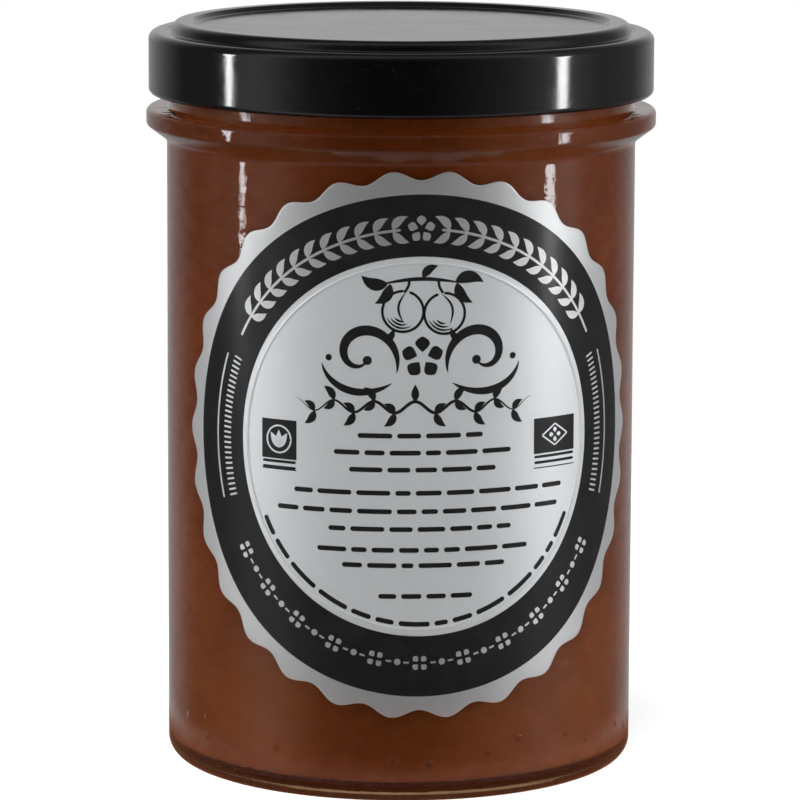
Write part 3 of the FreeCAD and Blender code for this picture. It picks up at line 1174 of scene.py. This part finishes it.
    def title_ornament(self) -> list[np.ndarray]:
        """A blossom between two spirals, each with a ball at its end, over two sweeping strokes."""
        c = self.title_middle
        spiral = curl((c + 7.9, 11.7), (5.1, 1.05), (205, -150))
        half = [
            stroke(spiral, 1.3, Ends.SWASH, 90),
            dot(tuple(spiral[-1]), 0.58),
            stroke(curl((c + 9.7, 13.6), (7.9, 4.3), (222, 318), fall=0.9), 0.95, Ends.SWASH),
            dot((c + 12.0, 11.4), 0.42),
            leaf((c + 4.9, 13.7), 128, 2.1, 0.9),
        ]
        return blossom((c, 11.6), 2.7, 1.85) + half + [mirrored(grid, c) for grid in half]

    def vine(self) -> list[np.ndarray]:
        """A waving stem under the title, with a pair of leaves at each crest and hollow."""
        left, right, level, swing, period = -16.4, 15.0, 5.2, 0.75, 5.2
        middle = (left + right) / 2
        across = np.linspace(left, right, 160)
        up = level + swing * np.cos((across - middle) * TURN / period)
        vine = [stroke(np.stack([across, up], axis=1), 0.42, Ends.SWASH, 120)]
        for number in range(-5, 6):
            way = 1 if number % 2 == 0 else -1
            out = 1 if number >= 0 else -1
            place = (middle + number * period / 2, level + swing * way)
            if number == 0:
                vine.append(leaf(place, 90, 2.2, 1.0, 0))
                continue
            vine.append(leaf(place, way * (90 - out * 38), 2.2, 1.0, 0.3 * out * way))
            vine.append(leaf(place, -way * (90 - out * 50), 1.8, 0.85, -0.3 * out * way))
        return vine

    def small_lines(self) -> list[np.ndarray]:
        """Rows of rounded dashes of a word's length, each row as long as a line of small print."""
        chance = np.random.default_rng(self.seed)
        rows = ((1.5, -8.0, 8.1), (-0.7, -11.1, 12.0), (-2.9, -9.1, 9.9), (-5.9, -16.5, 20.0),
                (-8.3, -18.9, 19.3), (-10.6, -11.8, 12.1), (-13.3, -13.3, 14.5), (-15.3, -10.0, 11.2),
                (-19.3, -5.3, 6.8))
        marks = []
        for level, left, right in rows:
            marks += self._dashes(chance, left, right, level)
        marks += [along_ring(dash, 22.95, upright=False) for dash in self._dashes(chance, -26.0, 26.0, 0.0)]
        return marks

    def _dashes(self, chance: np.random.Generator, left: float, right: float,
                level: float) -> list[np.ndarray]:
        """One row of dashes between two ends."""
        dashes = []
        place = left
        while place < right - 0.8:
            length = float(chance.uniform(1.4, 4.6))
            if right - place - length < 1.6:
                length = right - place
            count = int(8 + 4 * length)
            run = straight((place, level), (place + length, level), count)
            dashes.append(stroke(run, self.word_height, count=count + 6))
            place += length + self.word_gap
        return dashes

    def emblems(self) -> tuple[list[np.ndarray], list[np.ndarray]]:
        """Two dark fields at the sides with short lines under them, and the silver shapes inside.

        Returns:
            The grids in ink, and the grids in silver.
        """
        dark = [field_grid((-21.3, -2.2), (-16.2, 2.9)), field_grid((15.5, -1.7), (22.3, 2.9))]
        silver = []
        for left, right, level in ((-21.3, -16.2, -2.55), (15.5, 22.3, -2.1)):
            for row in (0, 0.75):
                dark.append(stroke(straight((left + 0.1, level - row), (right - 0.1, level - row)), 0.36))
            dark.append(stroke(straight((left, -3.55), (right, -3.55)), 0.14))
        middle = (-18.75, 0.35)
        silver.append(stroke(curl(middle, (1.75, 1.75), (0, 359)), 0.22, count=60))
        silver += [leaf((middle[0], middle[1] - 1.1), 90 + turn, 2.3, 0.95, 0) for turn in (-32, 0, 32)]
        middle = (18.9, 0.6)
        for side, up in ((1, 1), (1, -1), (-1, 1), (-1, -1)):
            tip, crown = (middle[0] + side * 2.1, middle[1]), (middle[0], middle[1] + up * 1.4)
            silver.append(stroke(straight(tip, crown), 0.2))
        silver += blossom(middle, 0.95, 0.6, petals=4, first=0.0)
        return dark, silver

    def make(self, foil: bpy.types.Material, ink: bpy.types.Material) -> list[bpy.types.Object]:
        """The film and its print.

        Args:
            foil: Finish of the film and of the silver marks.
            ink: Finish of the black print.

        Returns:
            The film, the black band, the dark marks in the middle, and the silver marks.
        """
        dark, silver = self.emblems()
        dark = dark + self.fruit_sprig() + self.title_ornament() + self.vine() + self.small_lines()
        silver = silver + self.band_marks()
        pieces = [
            self.film().made("label_film", foil),
            self.band_ring().made("label_band", ink),
            Surface.joined([self._printed(grid) for grid in dark]).made("label_print", ink),
            Surface.joined([self._printed(grid, layer=1) for grid in silver]).made("label_marks", foil),
        ]
        for piece, slot in zip(pieces, ("silver_label", "black_print", "black_print", "silver_label")):
            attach(piece, "root")
        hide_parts("label")
        return pieces


# ---------------------------------------------------------------- the studio
@dataclass
class Softbox:
    """A tall upright light beside the jar, a four-cornered panel that faces the axis. Metres, degrees."""

    name: str
    azimuth: float
    distance: float
    low_width: float
    high_width: float
    bottom: float
    top: float
    strength: float
    colour: Colour = (0.97, 0.985, 1.0)

    def make(self) -> bpy.types.Object:
        """The panel: a grid of two rows, spread along the tangent at its azimuth from the front."""
        way = np.array([math.sin(math.radians(self.azimuth)), -math.cos(math.radians(self.azimuth)), 0])
        tangent = np.array([way[1], -way[0], 0])
        rows = ((self.bottom, self.low_width), (self.top, self.high_width))
        points = [way * self.distance + tangent * side * width / 2 + np.array([0, 0, height])
                  for height, width in rows for side in (-1, 1)]
        mesh = bpy.data.meshes.new(self.name)
        mesh.from_pydata([tuple(point) for point in points], [], [(0, 2, 3, 1)])
        material, tree = new_material(self.name)
        tree.end(tree.node("Emission", {"Color": (*self.colour, 1), "Strength": self.strength}))
        mesh.materials.append(material)
        panel = placed(self.name, mesh)
        panel.visible_camera = False
        return panel


@dataclass
class Studio:
    """A pale floor, two softboxes, soft fills, the room and the camera. Metres, degrees."""

    floor_radius: float = 0.34
    floor_colour: Colour = (0.80, 0.80, 0.80)
    floor_mottle: Colour = (0.84, 0.84, 0.84)
    floor_seen: Colour = (0.36, 0.36, 0.36)
    floor_lift: float = 0.76
    # painted light: the brown that light through the jam would throw on the floor, given as a glow
    painted_jam_light: Colour = (0.215, 0.095, 0.052)
    painted_jam_light_edge: Point = (0.036, 0.054)
    front: float = 0.006
    side: float = 0.060
    glow: float = 0.19
    left: float = 0.10
    right: float = 0.08
    back: float = 0.34
    card: float = 0.17
    through: Colour = (0.45, 0.28, 0.15)
    boxes: tuple[Softbox, ...] = (
        Softbox("softbox_left", -86.0, 0.46, 0.020, 0.054, 0.012, 0.17, 12.0),
        Softbox("softbox_right", 70.4, 0.46, 0.036, 0.064, 0.012, 0.17, 11.5),
    )
    fills: tuple[tuple[str, Corner, float, float], ...] = (
        ("fill_above", (-0.06, -0.28, 1.25), 0.35, 15.5),
        ("fill_low", (-0.10, -1.30, 0.14), 0.9, 4.8),
        ("fill_left", (-1.20, -0.12, 0.10), 0.8, 10.0),
        ("fill_right", (1.15, -0.35, 0.10), 0.8, 9.5),
    )
    lens: float = 221.1
    camera_place: Corner = (-0.0548, -0.6432, 0.1569)
    camera_aim: Corner = (0, 0, 0.0476)
    camera_roll: float = 0.22

    def make(self) -> None:
        """Build everything round the jar, and the camera."""
        self._floor()
        for box in self.boxes:
            box.make()
        for fill in self.fills:
            self._fill(*fill)
        self._world()
        self._camera()

    def _floor(self) -> None:
        """A round pale floor that clears towards its rim, and shows the jar's shadow softly.

        Close to the jar's foot it glows brown, a painted light for the light that has come through
        the jam, which the camera doesn't see. Further out, mirror reflections leave the floor out.
        """
        mesh = bpy.data.meshes.new("floor")
        angle = TURN * np.arange(96) / 96
        rim = self.floor_radius * np.stack([np.cos(angle), np.sin(angle), 0 * angle], axis=1)
        mesh.from_pydata(rim.tolist(), [], [list(range(96))])
        material, tree = new_material("pale_floor")
        where = tree.node("TexCoord").outputs["Object"]
        radius = tree.node("VectorMath", {0: where}, operation="LENGTH").outputs["Value"]
        mottle = tree.node("TexNoise", {"Vector": where, "Scale": 60.0}).outputs[0]
        colour = tree.mixed(tree.ramp(mottle, 0.3, 0.7, 0.0, 0.15), self.floor_colour, self.floor_mottle)
        bounce = tree.node("BsdfDiffuse", {"Color": colour})
        # painted light: an emission that glows brown under the jar, in place of light through the jam
        painted_jam_light = tree.node("Emission", {"Color": (*self.painted_jam_light, 1), "Strength": 1.0})
        under = tree.ramp(radius, *self.painted_jam_light_edge, 1.0, 0.0)
        plain = tree.between(under, bounce, painted_jam_light)
        seen = tree.node("BsdfDiffuse", {"Color": (*self.floor_seen, 1)})
        white = tree.node("Emission", {"Color": (1, 1, 1, 1), "Strength": self.floor_lift})
        lifted = tree.node("AddShader", {0: seen.outputs[0], 1: white.outputs[0]})
        path = tree.node("LightPath").outputs
        either = tree.between(path["Is Camera Ray"], plain, lifted)
        rim_share = tree.ramp(radius, self.floor_radius * 0.35, self.floor_radius * 0.98)
        mirrored_ray = tree.times(path["Is Glossy Ray"], tree.maths("SUBTRACT", 1.0, under))
        unseen = tree.maths("MAXIMUM", rim_share, mirrored_ray)
        tree.end(tree.between(unseen, either, tree.node("BsdfTransparent")))
        mesh.materials.append(material)
        floor = placed("floor", mesh)

    @staticmethod
    def _fill(name: str, place: Corner, size: float, power: float) -> None:
        """A soft lamp aimed at the jar that is seen neither in reflections nor through the glass."""
        lamp = bpy.data.lights.new(name, "AREA")
        lamp.shape = "DISK"
        lamp.size = size
        lamp.energy = power
        fill = placed(name, lamp)
        fill.location = place
        fill.rotation_euler = (Vector((0, 0, 0.05)) - Vector(place)).to_track_quat("-Z", "Y").to_euler()
        fill.visible_glossy = False
        fill.visible_transmission = False

    def _world(self) -> None:
        """White for the camera; for other rays a room that is dim in front and paler behind the jar.

        Each direction's level is a sum of smooth ramps and humps of how far it points across, away
        and up. What is seen through the glass is tinted brown.
        """
        world = bpy.data.worlds.new("studio")
        bpy.context.scene.world = world
        world.use_nodes = True
        tree = Tree(world.node_tree)
        where = tree.node("TexCoord").outputs["Generated"]
        across, depth, height = tree.node("SeparateXYZ", {0: where}).outputs
        beside = tree.peak(depth, -0.28, 0.45)
        level = tree.total(
            tree.ramp(depth, -1.0, -0.6, self.front, self.side),
            tree.times(beside, self.glow),
            tree.ramp(across, 0.0, 1.0, 0.0, self.right),
            tree.times(beside, tree.ramp(across, 0.0, -0.8, 0.0, self.left)),
            tree.ramp(depth, 0.50, 1.0, 0.0, self.back),
            tree.times(tree.ramp(depth, 0.80, 0.98), tree.ramp(height, -0.06, 0.06, 0.0, self.card)),
        )
        path = tree.node("LightPath").outputs
        strength = tree.maths("MAXIMUM", level, path["Is Camera Ray"])
        colour = tree.mixed(path["Is Transmission Ray"], (1, 1, 1), self.through)
        sky = tree.node("Background", {"Color": colour, "Strength": strength})
        tree.node("OutputWorld", {"Surface": sky.outputs[0]})

    def _camera(self) -> None:
        """A long lens from a little left of the front, looking slightly down."""
        lens = bpy.data.cameras.new("camera")
        lens.lens = self.lens
        lens.sensor_width = 36.0
        place = Vector(self.camera_place)
        facing = (Vector(self.camera_aim) - place).to_track_quat("-Z", "Y").to_matrix()
        turn = facing @ Matrix.Rotation(math.radians(self.camera_roll), 3, "Z")
        camera = placed("camera", lens)
        camera.matrix_world = Matrix.Translation(place) @ turn.to_4x4()
        bpy.context.scene.camera = camera


# ---------------------------------------------------------------- all together
def dress_compound(finish: bpy.types.Material) -> None:
    """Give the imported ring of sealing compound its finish."""
    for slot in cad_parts["gasket"].material_slots:
        slot.material = finish


def main() -> None:
    """Build each sub-assembly in order, and note how large the whole is."""
    logging.basicConfig(level=logging.INFO, format="%(name)s: %(message)s")
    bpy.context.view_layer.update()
    bpy.context.scene.view_settings.view_transform = "Standard"
    effects = Effects()
    vessel = Vessel()
    pieces = [
        vessel.make_glass(ClearGlass().build(effects)),
        vessel.make_jam(ApricotJam().build(effects)),
        TwistOffLid(vessel).make(BlackLacquer().build(effects)),
    ]
    dress_compound(SealingCompound().build(effects))
    label_low, label_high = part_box("label")
    wall = Wall(vessel.body_radius, (label_low[2] + label_high[2]) / 2 / MM)
    pieces += RoundLabel(wall).make(SilverFoil().build(effects), BlackInk().build(effects))
    for piece in pieces:
        LOG.info("%s: %d faces", piece.name, len(piece.data.polygons))
    Studio().make()


if __name__ == "__main__":
    main()
